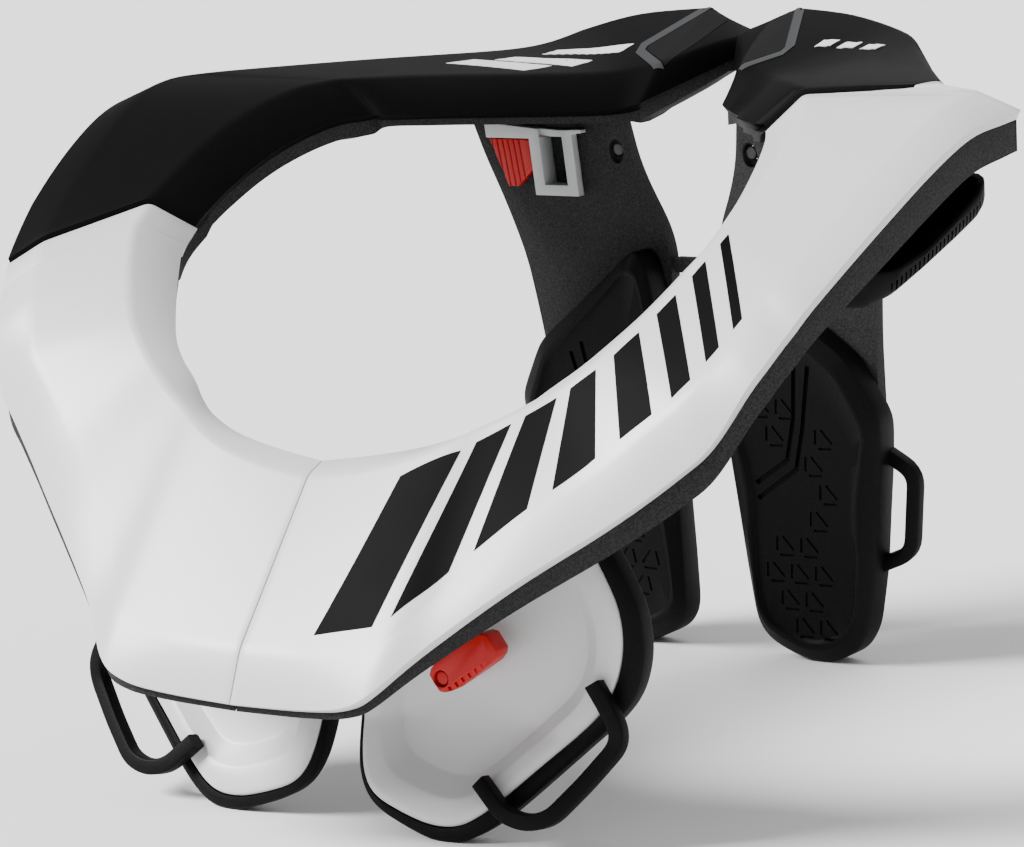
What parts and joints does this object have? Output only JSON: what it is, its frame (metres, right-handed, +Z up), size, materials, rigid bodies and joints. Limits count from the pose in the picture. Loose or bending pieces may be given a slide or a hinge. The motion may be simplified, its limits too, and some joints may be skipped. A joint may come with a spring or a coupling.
{
  "type": "motocross neck brace",
  "caption": "Rigid neck brace: a ring collar of hard shells on a composite core, with chest plates, shoulder trays and padded rear wings, and a hinged gate.",
  "frame": {"origin": "on the floor under the centre of the brace's bounding box, with the brace standing on its four lower tips", "axes": "+X the wearer's left, -Y the wearer's front, +Z up along the wearer's neck"},
  "size_m": [0.311, 0.2952, 0.2076],
  "materials": {
    "white_plastic": "satin gloss",
    "black_plastic": "satin",
    "core_composite": "grained matte",
    "black_rubber": "matte",
    "grey_plastic": "matte",
    "red_plastic": "satin"
  },
  "bodies": {
    "chassis": {"chassis_core": "core_composite", "front_shell_right": "white_plastic", "rear_shell": "black_plastic", "gate_hinge": "core_composite", "wing_bar": "core_composite", "chest_plate_right": "white_plastic", "chest_tray_right": "black_rubber", "chest_strap_loop_right": "black_rubber", "shoulder_tray_right": "black_rubber", "rear_strut_left": "core_composite", "rear_strut_right": "core_composite", "wing_pad_left": "black_rubber", "wing_pad_right": "black_rubber", "wing_strap_loop_left": "black_rubber", "wing_strap_loop_right": "black_rubber", "strut_bracket_left": "grey_plastic", "strut_bracket_right": "grey_plastic", "strut_lock_left": "red_plastic", "strut_lock_right": "red_plastic", "strut_pin_left": "grey_plastic", "strut_pin_right": "grey_plastic"},
    "left_gate": {"gate_core": "core_composite", "gate_shell": "white_plastic", "lever_pin": "grey_plastic", "chest_plate_left": "white_plastic", "chest_tray_left": "black_rubber", "chest_strap_loop_left": "black_rubber", "shoulder_tray_left": "black_rubber"},
    "release_lever": {"release_lever": "red_plastic"}
  },
  "joints": [
    {"name": "gate_swing", "type": "hinge", "parent": "chassis", "child": "left_gate", "pos_m": [0.12844, 0.02509, 0.183], "axis": [0, 0, 1], "range_deg": [0, 50]},
    {"name": "lever_turn", "type": "hinge", "parent": "left_gate", "child": "release_lever", "pos_m": [0.03961, -0.10138, 0.04659], "axis": [0, 1, 0], "range_deg": [0, 20]}
  ]
}
